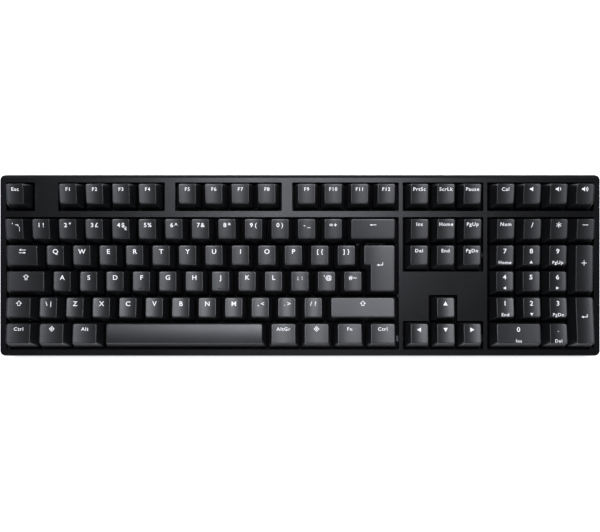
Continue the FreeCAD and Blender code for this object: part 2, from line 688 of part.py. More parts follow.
def top_case():
    blank = case_blank(PARTING_Z, BEZEL_TOP_Z)
    start_y, end_y = CASE_REAR - REAR_CHAMFER, CASE_REAR + 1
    low_z = BEZEL_TOP_Z - REAR_CHAMFER_DROP * (end_y - start_y) / REAR_CHAMFER
    corners = [Vector(-CASE_X, start_y, BEZEL_TOP_Z), Vector(-CASE_X, end_y, BEZEL_TOP_Z),
               Vector(-CASE_X, end_y, low_z)]  # fmt: skip
    chamfer = Part.Face(Part.makePolygon(corners + corners[:1])).extrude(Vector(2 * CASE_X, 0, 0))
    shell = blank.cut(chamfer)
    shell = rounded_top(shell, EDGE_RADIUS)
    shell = shell.cut(case_blank(PARTING_Z, BEZEL_TOP_Z - BEZEL_THICKNESS, CASE_WALL))
    shell = shell.cut([window(*place, BEZEL_TOP_Z - BEZEL_THICKNESS, BEZEL_TOP_Z) for place in WINDOWS])
    under = BEZEL_TOP_Z - BEZEL_THICKNESS
    shell = shell.fuse([rod(x, y, POST_RADIUS, POST_MEET_Z, under) for x, y in CASE_SCREWS])
    shell = shell.cut([rod(x, y, SCREW_PILOT, POST_MEET_Z, under - 1.5) for x, y in CASE_SCREWS])
    return shell.removeSplitter()


def pivot_point():
    """Height of the feet's pivots."""
    return underside_z(FOOT_PIVOT_Y, FOOT_THICKNESS / 2)


def with_foot_well(shell, x):
    """Adds the walls and roof round a folded foot, then opens the recess and its two pivot holes."""
    half = FOOT_WIDTH / 2 + FOOT_GAP
    front, rear = FOOT_PIVOT_Y - FOOT_LENGTH - WELL_FRONT, FOOT_PIVOT_Y + WELL_REAR
    wall, depth = WELL_WALL, WELL_DEPTH
    walls = slab(x - half - wall, x + half + wall, front - wall, rear + wall, 0, depth + wall)
    shell = shell.fuse(walls).cut(slab(x - half, x + half, front, rear, -1, depth))
    reach = half + PIVOT_BITE + 0.2
    start = Vector(x - reach, FOOT_PIVOT_Y, pivot_point())
    holes = Part.makeCylinder(PIVOT_RADIUS + 0.1, 2 * reach, start, Vector(1, 0, 0))
    return shell.cut(holes)


def case_tower(x, y):
    """Tower that meets a post of the upper shell, and the stepped hole for its screw."""
    tower = rod(x, y, POST_RADIUS + TOWER_WALL, underside_z(y, 1.0), POST_MEET_Z)
    low = underside_z(CASE_REAR) - 1
    seat = rod(x, y, HEAD_HOLE, low, POST_MEET_Z - SCREW_SEAT)
    return tower, rod(x, y, SCREW_HOLE, low, POST_MEET_Z).fuse(seat)


def plate_tower(x, y):
    """Pillar that carries the switch plate, and the blind hole for its screw."""
    tower = rod(x, y, POST_RADIUS, underside_z(y, 1.0), -PLATE_THICKNESS)
    return tower, rod(x, y, SCREW_PILOT, -PLATE_SCREW_REACH - 2.5, -PLATE_THICKNESS)


def bottom_case():
    low = underside_z(CASE_REAR) - 1
    outer = case_blank(low, PARTING_Z).common(slab(-CASE_X, CASE_X, CASE_FRONT, CASE_REAR, 0, 40))
    outer = outer.makeFillet(EDGE_RADIUS, [edge for edge in outer.Edges if on_underside(edge)])
    rim = case_blank(PARTING_Z - SEAM, PARTING_Z).cut(case_blank(PARTING_Z - SEAM, PARTING_Z, SEAM))
    outer = outer.cut(rim)
    room = case_blank(low, PARTING_Z, CASE_WALL)
    shell = outer.cut(room.common(slab(-INNER_X, INNER_X, INNER_FRONT, INNER_REAR, FLOOR_THICKNESS, 40)))
    for x in (-FOOT_X, FOOT_X):
        shell = with_foot_well(shell, x)
    towers = [case_tower(x, y) for x, y in CASE_SCREWS] + [plate_tower(x, y) for x, y in PLATE_SCREWS]
    shell = shell.fuse([tower for tower, hole in towers])
    return shell.cut([hole for tower, hole in towers] + [inlet_opening()]).removeSplitter()


def on_underside(edge):
    return all(abs(v.Z - underside_z(v.Y)) < 0.01 for v in edge.Vertexes)


def inlet_opening():
    """Rounded recess through the back wall that the cable's plug fits into."""
    middle_z = BOARD_TOP_Z - BOARD_THICKNESS - SOCKET_HEIGHT / 2
    half_x, half_z = INLET_SIZE[0] / 2, INLET_SIZE[1] / 2
    hole = prism(rectangle(-half_x, half_x, -half_z, half_z), 1.6, -CASE_WALL - 1, CASE_WALL)
    hole.rotate(Vector(0, 0, 0), Vector(1, 0, 0), -90)
    return move(hole, SOCKET_X, CASE_REAR, middle_z)


# ---------------------------------------------------------------- feet, pads and screws
def foot():
    """Folding leg, flat against the underside at rest, with a hub and pins at its back end."""
    y0, y1 = FOOT_PIVOT_Y - FOOT_LENGTH, FOOT_PIVOT_Y
    z = pivot_point()
    radius = FOOT_THICKNESS / 2 - 0.3
    leg = box(-FOOT_WIDTH / 2, FOOT_WIDTH / 2, y0 + FOOT_SHOE, y1, z - radius, z + radius)
    hub = Part.makeCylinder(radius, FOOT_WIDTH, Vector(-FOOT_WIDTH / 2, y1, z), Vector(1, 0, 0))
    pin_length = FOOT_WIDTH + 2 * FOOT_GAP + 2 * PIVOT_BITE
    pins = Part.makeCylinder(PIVOT_RADIUS, pin_length, Vector(-pin_length / 2, y1, z), Vector(1, 0, 0))
    hollow_x = FOOT_WIDTH / 2 - 3
    hollow = box(-hollow_x, hollow_x, y0 + 5.0, y1 - 3.5, z + 0.2, z + radius)
    shape = leg.fuse([hub, pins]).cut(hollow).removeSplitter()
    shape.rotate(Vector(0, y1, z), Vector(1, 0, 0), -DECK_TILT)
    return shape


def foot_pad():
    """Rubber shoe on the free end of a foot."""
    y0 = FOOT_PIVOT_Y - FOOT_LENGTH
    z = pivot_point()
    radius = FOOT_THICKNESS / 2 - 0.3
    shape = box(-FOOT_WIDTH / 2, FOOT_WIDTH / 2, y0, y0 + FOOT_SHOE, z - radius, z + radius)
    shape = shape.makeFillet(0.8, [e for e in shape.Edges if e.BoundBox.YMax < y0 + 0.01])
    shape.rotate(Vector(0, FOOT_PIVOT_Y, z), Vector(1, 0, 0), -DECK_TILT)
    return shape


def rubber_pads():
    """Four long pads under the case, their lower faces on the desk."""
    pads = []
    half = PAD_LENGTH / 2
    for x in (-PAD_X, PAD_X):
        for y, depth in PADS:
            pad = prism(rectangle(-half, half, -depth / 2, depth / 2), 2.4, -PAD_HEIGHT, 0)
            pad.rotate(Vector(0, 0, 0), Vector(1, 0, 0), -DECK_TILT)
            pads.append(move(pad, x, y, underside_z(y)))
    return pads


def screw(z_head, z_tip, head_below):
    """Pan-head screw along z; the head is below or above its seat."""
    way = -1 if head_below else 1
    head = Part.makeCylinder(SCREW_HEAD, HEAD_HEIGHT, Vector(0, 0, z_head), Vector(0, 0, way))
    shank = Part.makeCylinder(SCREW_SHANK, abs(z_tip - z_head), Vector(0, 0, z_head), Vector(0, 0, -way))
    recess = block(0, 0, 2.6, 0.7, -0.5, 0.5).fuse(block(0, 0, 0.7, 2.6, -0.5, 0.5))
    return head.fuse(shank).cut(move(recess, 0, 0, z_head + way * 1.4)).removeSplitter()


# ---------------------------------------------------------------- assembly
def build():
    """Every node's list of solids, in the deck frame."""
    seat_z = POST_MEET_Z - SCREW_SEAT
    case_screw = screw(seat_z, POST_MEET_Z + CASE_SCREW_REACH, True)
    plate_screw = screw(0, -PLATE_SCREW_REACH, False)
    nodes = {
        "top_case": [top_case()],
        "bottom_case": [bottom_case()],
        "switch_plate": [switch_plate()],
        "circuit_board": [circuit_board()],
        "switch_lower_housings": at_every_switch(lower_housing()),
        "switch_upper_housings": at_every_switch(upper_housing()),
        "switch_springs": at_every_switch(spring()),
        "switch_contacts": [move(leaf, x, y) for leaf in contact_leaves() for x, y in SWITCHES],
        "diodes": [move(diode(), x - DIODE_OFFSET, y - DIODE_OFFSET) for x, y in SWITCHES],
        "controller_chip": [controller_chip()],
        "usb_socket": usb_socket(),
        "rubber_pads": rubber_pads(),
        "case_screws": [move(case_screw, x, y) for x, y in CASE_SCREWS],
        "plate_screws": [move(plate_screw, x, y) for x, y in PLATE_SCREWS],
        "stabilizer_housings": [],
    }
    for name, key in stabilised():
        housings, wire = stab_parts(key)
        nodes["stabilizer_housings"] += housings
        nodes["stabilizer_wire_" + name] = [wire]
    for side, x in (("left", -FOOT_X), ("right", FOOT_X)):
        nodes["foot_" + side] = [move(foot(), x, 0)]
        nodes["foot_pad_" + side] = [move(foot_pad(), x, 0)]
    cache = {"stem": stem(), "insert": stab_insert(False), "insert turned": stab_insert(True)}
    for node, keys in KEYS.items():
        nodes[node] = [solid for key in keys for solid in key_solids(key, cache)]
    return nodes


def placed(nodes):
    """Tilts the deck and sets the keyboard on its pads, the middle of its outline at the origin."""
    compounds = {}
    for name, solids in nodes.items():
        compound = Part.makeCompound([solid for shape in solids for solid in shape.Solids])
        compound.rotate(Vector(0, 0, 0), Vector(1, 0, 0), DECK_TILT)
        compounds[name] = compound
    bounds = FreeCAD.BoundBox()
    for compound in compounds.values():
        bounds.add(compound.optimalBoundingBox(False))
    shift = Vector(-bounds.Center.x, -bounds.Center.y, -bounds.ZMin)
    for compound in compounds.values():
        compound.translate(shift)
    print("size", bounds.XLength, bounds.YLength, bounds.ZLength, "shift", shift)
    return compounds


os.makedirs("parts", exist_ok=True)
for node_name, node_shape in placed(build()).items():
    if not node_shape.isValid():
        print("not valid:", node_name)
    node_shape.exportStep(f"parts/{node_name}.step")
    print(node_name, len(node_shape.Solids), round(node_shape.Volume / 1000, 2), "cm3")
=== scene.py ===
"""Looks of a full-size mechanical keyboard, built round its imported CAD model.

The keycaps are rebuilt as smooth sculpted shells over the CAD caps, with their legends laid on the
dished tops. Work is done in the deck frame: millimetres, x to the right, y to the back, z square to the
switch plate, with z = 0 on its top face and the origin over the middle of the key field.
"""

import json
import math

import bmesh
import bpy
import numpy as np
from mathutils import Matrix, Vector


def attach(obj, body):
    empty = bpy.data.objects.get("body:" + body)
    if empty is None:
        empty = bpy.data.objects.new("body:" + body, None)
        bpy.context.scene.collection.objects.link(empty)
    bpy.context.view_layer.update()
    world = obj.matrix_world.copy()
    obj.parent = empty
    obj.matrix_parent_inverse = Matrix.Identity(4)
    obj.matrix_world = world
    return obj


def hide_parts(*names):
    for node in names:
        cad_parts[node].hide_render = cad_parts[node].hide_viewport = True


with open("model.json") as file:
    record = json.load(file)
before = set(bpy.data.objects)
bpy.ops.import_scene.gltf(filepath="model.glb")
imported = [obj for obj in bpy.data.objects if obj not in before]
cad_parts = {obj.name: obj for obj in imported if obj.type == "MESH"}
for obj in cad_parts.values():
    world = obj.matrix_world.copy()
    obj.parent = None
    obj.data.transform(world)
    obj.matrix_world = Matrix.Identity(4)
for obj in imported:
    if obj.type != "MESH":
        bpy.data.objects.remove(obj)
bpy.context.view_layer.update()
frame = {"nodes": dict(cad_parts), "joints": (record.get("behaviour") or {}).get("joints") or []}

MM = 0.001

# ---------------------------------------------------------------- sizes, in millimetres, as in the CAD model
PITCH = 19.05
# rows from back to front: function keys, numbers, three rows of letters, and the space bar's
ROW_Y = {"F": 50.8, "N": 25.4, "Q": 6.35, "A": -12.7, "Z": -31.75, "B": -50.8}
TOP_HEIGHT = {"F": 16.2, "N": 16.7, "Q": 15.2, "A": 14.8, "Z": 15.8, "B": 16.3}  # over the plate
TOP_LEAN = {"F": 7.0, "N": 6.0, "Q": 3.0, "A": 0.0, "Z": -4.0, "B": -5.0}  # degrees, back edge up
TOP_SHIFT = {"F": 1.1, "N": 1.3, "Q": 1.4, "A": 1.7, "Z": 1.9, "B": 2.1}  # towards the back
BEZEL_Z = 8.0  # top of the bezel over the plate
SKIRT_Z = 6.1  # lower edge of the caps
TOP_INSET_X = 2.75  # from the skirt to the edge of the top, left and right
TOP_INSET_Y = 1.95
DISH_DEPTH = 0.8
WALL = 1.4
ROOF = 1.5  # thickness under the top
BOSS_RADIUS = 2.75  # round post with the socket for a stem
BOSS_Z = 6.75
CROSS_ARM = 2.04  # reach of the socket's cross
CROSS_HALF_X = 0.59  # half the thickness of the arm that runs along y
CROSS_HALF_Y = 0.64  # half the thickness of the arm that runs along x
PITCH_STEP = 0.25 * PITCH  # how much wider the return key is in its upper half
CAP_GAP = 0.95  # between the skirts of neighbours

# telling the solids of a key node apart
CAP_WIDTH_MIN = 12.0  # stems and inserts are narrower
SPACE_WIDTH_MIN = 100.0
RETURN_DEPTH_MIN = 30.0
RETURN_WIDTH_MIN = 20.0

# finer shape of the caps, in millimetres
ARCH_RADIUS = 46.0  # of the space bar's top, flatter than in the CAD model so that it shades evenly
ARCH_LEAN = math.radians(-3.2)
ARCH_RISE = 0.2
BASE_RADIUS = 1.3
TOP_RADIUS = 1.5
INNER_RADIUS = 1.0
EDGE_RADIUS = 0.55  # rounding between walls and top
EDGE_STEPS = 5
WALL_SHARES = (0.25, 0.5, 0.75, 0.93)  # levels of the wall, from the skirt to the top
SKIRT_ROUND = 0.15
CORNER_CELLS = 4
SPAN_CELL = 1.5  # largest cell along a straight stretch
BOSS_SIDES = 32
BOSS_BITE = 0.3  # how far a boss runs into the roof
SOCKET_END = 0.8  # from the socket's end to the boss's end
BAR_HALF = 2.0  # homing bar
BAR_RADIUS = 0.28
BAR_Y = -5.2
BAR_RISE = 0.08
BAR_SIDES = 8
BAR_END_REACH = 0.7  # of its radius
BAR_END_SIZE = 0.45
HOMING = {"keys_home_letters": (3, 6)}  # the index fingers' keys, counted from 0 at the left

# legends, in millimetres
LETTER = 3.4  # height of a capital
WORD = 2.5
SMALL = 2.3
LETTER_Y = 2.8  # over the middle of the top
WORD_Y = 3.4
PAIR_GAP = 1.55  # from the middle of the top to each of two characters
PAIR_SHARE = 0.9  # of a lone capital's height
THIRD_X = 3.4  # place of a third character
THIRD_Y = 0.2
DIGIT_Y = 3.1
BELOW_ICON_Y = -4.9
BELOW_WORD_Y = -5.1
STROKE = 0.42  # width of the icons' lines
THIN_STROKE = 0.38
ARROW = 2.7  # size of the cursor triangles
SMALL_ARROW = 1.9
CAPITAL_SHARE = 0.73  # of the font's size
BOLDNESS = 0.016  # of the font's size
LETTER_SPACING = 1.18
LETTER_STRETCH = 1.06
LEGEND_LIFT = 0.02
LEGEND_DEPTH = 0.10
SLICE = 0.6  # width of the strips that follow the dish

# the range in which most of a noise texture's values lie
NOISE_LOW = 0.3
NOISE_HIGH = 0.7

# lights: name, place over the deck in millimetres, size in metres, power
LIGHTS = [
    ("overhead", (-10, 300, 1200), (0.42, 0.30), 15.5),
    ("front", (0, -1500, 900), (1.8, 0.6), 16),
    ("back", (0, 1500, 900), (1.8, 0.6), 8),
]
LIGHT_COLOR = (0.90, 0.925, 1.0)
WORLD_STRENGTH = 0.10
FLOOR_REACH = 6.0
FLOOR_GRAY = 0.90
FLOOR_GLOW = 0.6

# camera, straight over the deck's middle
CAMERA_HEIGHT = 430.0  # over the bezel
CAMERA_LENS = 35.2
SENSOR_WIDTH = 36
CLIP_RANGE = (0.01, 20)


# ---------------------------------------------------------------- deck frame
def deck_matrix():
    """Turns deck millimetres into metres in the row frame."""
    press = next(j for j in frame["joints"] if j["name"] == "press_escape")
    up = -Vector(press["axis"]).normalized()
    right = Vector((1, 0, 0))
    back = up.cross(right)
    turn = Matrix((right, back, up)).transposed()
    plate = points_of(frame["nodes"]["switch_plate"]) @ np.array(turn)
    key_points = [points_of(obj) for name, obj in frame["nodes"].items() if name.startswith("key")]
    caps = np.vstack(key_points) @ np.array(turn)
    origin = Vector((0, (caps[:, 1].min() + caps[:, 1].max()) / 2, plate[:, 2].max()))
    return Matrix.Translation(turn @ origin) @ turn.to_4x4() @ Matrix.Scale(MM, 4)


def points_of(obj):
    """A mesh's vertices as rows of x, y and z."""
    found = np.empty(len(obj.data.vertices) * 3)
    obj.data.vertices.foreach_get("co", found)
    return found.reshape(-1, 3)


DECK = deck_matrix()
TO_DECK = DECK.inverted()


def solids_of(node):
    """The node's solids in the deck frame, one bmesh with its islands of vertices as lists."""
    bm = bmesh.new()
    bm.from_mesh(frame["nodes"][node].data)
    bmesh.ops.transform(bm, matrix=TO_DECK, verts=bm.verts)
    bmesh.ops.remove_doubles(bm, verts=bm.verts, dist=1e-4)
    islands, seen = [], set()
    for start in bm.verts:
        if start in seen:
            continue
        seen.add(start)
        island, stack = [], [start]
        while stack:
            vert = stack.pop()
            island.append(vert)
            for edge in vert.link_edges:
                other = edge.other_vert(vert)
                if other not in seen:
                    seen.add(other)
                    stack.append(other)
        islands.append(island)
    return bm, islands


def extent(island):
    """Low and high corner of a solid."""
    co = np.array([v.co for v in island])
    return co.min(0), co.max(0)


def new_object(name, bm, body, material, smooth):
    """A piece of a key from a bmesh in the deck frame."""
    bmesh.ops.transform(bm, matrix=DECK, verts=bm.verts)
    mesh = bpy.data.meshes.new(name)
    bm.to_mesh(mesh)
    bm.free()
    mesh.polygons.foreach_set("use_smooth", [smooth] * len(mesh.polygons))
    mesh.materials.append(material)
    obj = bpy.data.objects.new(name, mesh)
    bpy.context.scene.collection.objects.link(obj)
    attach(obj, body)
    return obj


# ---------------------------------------------------------------- materials
def new_material(name, color, roughness, metallic=0.0, specular=0.5):
    mat = bpy.data.materials.new(name)
    mat.use_nodes = True
    shader = mat.node_tree.nodes["Principled BSDF"]
    shader.inputs["Specular IOR Level"].default_value = specular
    shader.inputs["Base Color"].default_value = (*color, 1)
    shader.inputs["Roughness"].default_value = roughness
    shader.inputs["Metallic"].default_value = metallic
    return mat, mat.node_tree, shader


def noise(tree, scale, detail, stretch=(1, 1, 1)):
    """Noise over object coordinates, with scale in features per metre."""
    nodes, links = tree.nodes, tree.links
    place = nodes.new("ShaderNodeTexCoord")
    mapping = nodes.new("ShaderNodeMapping")
    mapping.inputs["Scale"].default_value = stretch
    texture = nodes.new("ShaderNodeTexNoise")
    texture.inputs["Scale"].default_value = scale
    texture.inputs["Detail"].default_value = detail
    links.new(place.outputs["Object"], mapping.inputs["Vector"])
    links.new(mapping.outputs["Vector"], texture.inputs["Vector"])
    return texture.outputs["Fac"]


def ranged(tree, value, low, high):
    """A noise value spread from low to high."""
    node = tree.nodes.new("ShaderNodeMapRange")
    node.inputs["From Min"].default_value = NOISE_LOW
    node.inputs["From Max"].default_value = NOISE_HIGH
    node.inputs["To Min"].default_value = low
    node.inputs["To Max"].default_value = high
    tree.links.new(value, node.inputs["Value"])
    return node.outputs["Result"]


def tint(tree, shader, value, dark, light):
    """Base colour that runs from dark to light with a noise value."""
    ramp = tree.nodes.new("ShaderNodeValToRGB")
    low, high = ramp.color_ramp.elements
    low.position = NOISE_LOW
    low.color = (*dark, 1)
    high.position = NOISE_HIGH
    high.color = (*light, 1)
    tree.links.new(value, ramp.inputs["Fac"])
    tree.links.new(ramp.outputs["Color"], shader.inputs["Base Color"])


def bump(tree, shader, value, strength, distance):
    node = tree.nodes.new("ShaderNodeBump")
    node.inputs["Strength"].default_value = strength
    node.inputs["Distance"].default_value = distance
    tree.links.new(value, node.inputs["Height"])
    tree.links.new(node.outputs["Normal"], shader.inputs["Normal"])


def grained_plastic(name, dark, light, rough_low, rough_high, grain, depth, specular=0.5):
    """Moulded plastic: fine grain in the surface, slow drift in colour and gloss."""
    mat, tree, shader = new_material(name, light, rough_high, specular=specular)
    tint(tree, shader, noise(tree, 60, 3), dark, light)
    tree.links.new(ranged(tree, noise(tree, 25, 4), rough_low, rough_high), shader.inputs["Roughness"])
    bump(tree, shader, noise(tree, grain, 2), 0.6, depth)
    return mat


def brushed_metal(name, color, roughness, stretch):
    """Metal with fine streaks, drawn out by stretch."""
    mat, tree, shader = new_material(name, color, roughness, 1.0)
    streaks = noise(tree, 900, 3, stretch)
    dark = tuple(0.75 * c for c in color)
    tint(tree, shader, streaks, dark, color)
    tree.links.new(ranged(tree, streaks, roughness - 0.08, roughness + 0.1), shader.inputs["Roughness"])
    bump(tree, shader, streaks, 0.2, 0.00002)
    return mat


def speckled(name, dark, light, roughness, scale, specular=0.5):
    """Paint, mask or rubber with a fine speckle."""
    mat, tree, shader = new_material(name, light, roughness, specular=specular)
    value = noise(tree, scale, 4)
    tint(tree, shader, value, dark, light)
    tree.links.new(ranged(tree, value, roughness - 0.06, roughness + 0.08), shader.inputs["Roughness"])
    bump(tree, shader, value, 0.35, 0.00004)
    return mat


CAP_PLASTIC = grained_plastic(
    "cap_plastic", (0.0042, 0.0045, 0.0051), (0.0060, 0.0063, 0.0070), 0.38, 0.44, 4200, 0.00005, 0.55)
LEGEND_INK = grained_plastic(
    "legend_ink", (0.74, 0.74, 0.74), (0.82, 0.82, 0.82), 0.45, 0.55, 4200, 0.00002)
CASE_PLASTIC = grained_plastic(
    "case_plastic", (0.0018, 0.0020, 0.0023), (0.0026, 0.0028, 0.0032), 0.33, 0.38, 3000, 0.00006, 0.20)
SWITCH_PLASTIC = grained_plastic(
    "switch_plastic", (0.0020, 0.0020, 0.0022), (0.0030, 0.0030, 0.0033), 0.50, 0.60, 2500, 0.00003, 0.15)
STEM_PLASTIC = grained_plastic(
    "stem_plastic", (0.008, 0.008, 0.009), (0.012, 0.012, 0.013), 0.40, 0.50, 2500, 0.00003, 0.3)
PLATE_PAINT = speckled(
    "plate_paint", (0.0015, 0.0015, 0.0018), (0.0025, 0.0025, 0.0028), 0.75, 3500, 0.1)
BOARD_MASK = speckled("board_mask", (0.006, 0.030, 0.016), (0.009, 0.042, 0.022), 0.35, 1200)
CHIP_PLASTIC = speckled("chip_plastic", (0.012, 0.012, 0.012), (0.020, 0.020, 0.020), 0.6, 5000)
RUBBER = speckled("rubber", (0.010, 0.010, 0.010), (0.018, 0.018, 0.018), 0.8, 2500)
BRIGHT_STEEL = brushed_metal("bright_steel", (0.62, 0.62, 0.63), 0.30, (1, 8, 1))
SCREW_STEEL = brushed_metal("screw_steel", (0.16, 0.16, 0.17), 0.35, (1, 1, 6))
BRASS = brushed_metal("contact_brass", (0.72, 0.52, 0.25), 0.32, (1, 1, 6))


# ---------------------------------------------------------------- keycap shape
class Plan:
    """A cap's outline seen from above, as a grid of cells with some corner cells rounded.

    xs and ys are the lines that the outline's straight sides lie on, and solid says which cells between
    them the cap covers. The grid is the same at every level of the cap, so levels join ring to ring.
    """

    def __init__(self, xs, ys, solid):
        self.solid = solid
        self.x_stations = self.stations(xs, 0)
        self.y_stations = self.stations(ys, 1)
        self.corners = self.find_corners(len(xs) - 1, len(ys) - 1)

    def stations(self, lines, axis):
        """(line before, line after, corner from, share) for each grid line along one axis."""
        made = []
        for n in range(len(lines) - 1):
            gap = lines[n + 1] - lines[n]
            first = self.has_corner(axis, n, 0)
            last = self.has_corner(axis, n, 1)
            spans = []
            if first:
                spans.append(("low", CORNER_CELLS))
            spans.append(("mid", max(2, round(gap / SPAN_CELL))))
            if last:
                spans.append(("high", CORNER_CELLS))
            for kind, cells in spans:
                for k in range(cells):
                    made.append((n, kind, k / cells, first, last))
        made.append((len(lines) - 2, "end", 1.0, False, False))
        return made

    def has_corner(self, axis, n, side):
        """Whether a rounded corner begins or ends in band n."""
        others = range(len(self.solid) if axis == 0 else len(self.solid[0]))
        step = 1 if side else -1
        for m in others:
            here = self.filled(n, m, axis)
            beyond = self.filled(n + step, m, axis)
            if here and not beyond:
                return True
        return False

    def filled(self, n, m, axis):
        i, j = (n, m) if axis == 0 else (m, n)
        if i < 0 or j < 0 or j >= len(self.solid) or i >= len(self.solid[0]):
            return False
        return self.solid[j][i]

    def find_corners(self, across, up):
        """(band in x, side, band in y, side) of each convex corner."""
        found = []
        for i in range(across):
            for j in range(up):
                for side_x in (-1, 1):
                    for side_y in (-1, 1):
                        if self.filled(i, j, 0) and not self.filled(i + side_x, j, 0):
                            if not self.filled(i, j + side_y, 0):
                                found.append((i, side_x, j, side_y))
        return found

    def place(self, station, lines, radius):
        n, kind, share, first, last = station
        low, high = lines[n], lines[n + 1]
        inner_low = low + (radius if first else 0)
        inner_high = high - (radius if last else 0)
        if kind == "low":
            return low + radius * share
        if kind == "high":
            return inner_high + radius * share
        if kind == "end":
            return high
        return inner_low + (inner_high - inner_low) * share

    def point(self, i, j, xs, ys, radius):
        """Where grid vertex (i, j) lies when the outline's lines are at xs and ys."""
        x = self.place(self.x_stations[i], xs, radius)
        y = self.place(self.y_stations[j], ys, radius)
        for band_x, side_x, band_y, side_y in self.corners:
            corner_x = xs[band_x + (side_x > 0)]
            corner_y = ys[band_y + (side_y > 0)]
            depth_x = 1 - abs(corner_x - x) / radius
            depth_y = 1 - abs(corner_y - y) / radius
            inside = (x - corner_x) * side_x <= 1e-9 and (y - corner_y) * side_y <= 1e-9
            if inside and depth_x > 0 and depth_y > 0:
                round_x = depth_x * math.sqrt(1 - depth_y * depth_y / 2)
                round_y = depth_y * math.sqrt(1 - depth_x * depth_x / 2)
                x = corner_x + side_x * radius * (round_x - 1)
                y = corner_y + side_y * radius * (round_y - 1)
                break
        return x, y

    def cells(self):
        """Grid cells that the cap covers."""
        for i in range(len(self.x_stations) - 1):
            for j in range(len(self.y_stations) - 1):
                if self.solid[self.y_stations[j][0]][self.x_stations[i][0]]:
                    yield i, j

    def rim(self):
        """Grid vertices round the outline, anticlockwise."""
        after = {}
        covered = set(self.cells())
        for i, j in covered:
            for a, b, beyond in (((i, j), (i + 1, j), (i, j - 1)), ((i + 1, j), (i + 1, j + 1), (i + 1, j)),
                                 ((i + 1, j + 1), (i, j + 1), (i, j + 1)), ((i, j + 1), (i, j), (i - 1, j))):
                if beyond not in covered:
                    after[a] = b
        start = min(after)
        ring, here = [start], after[start]
        while here != start:
            ring.append(here)
            here = after[here]
        return ring


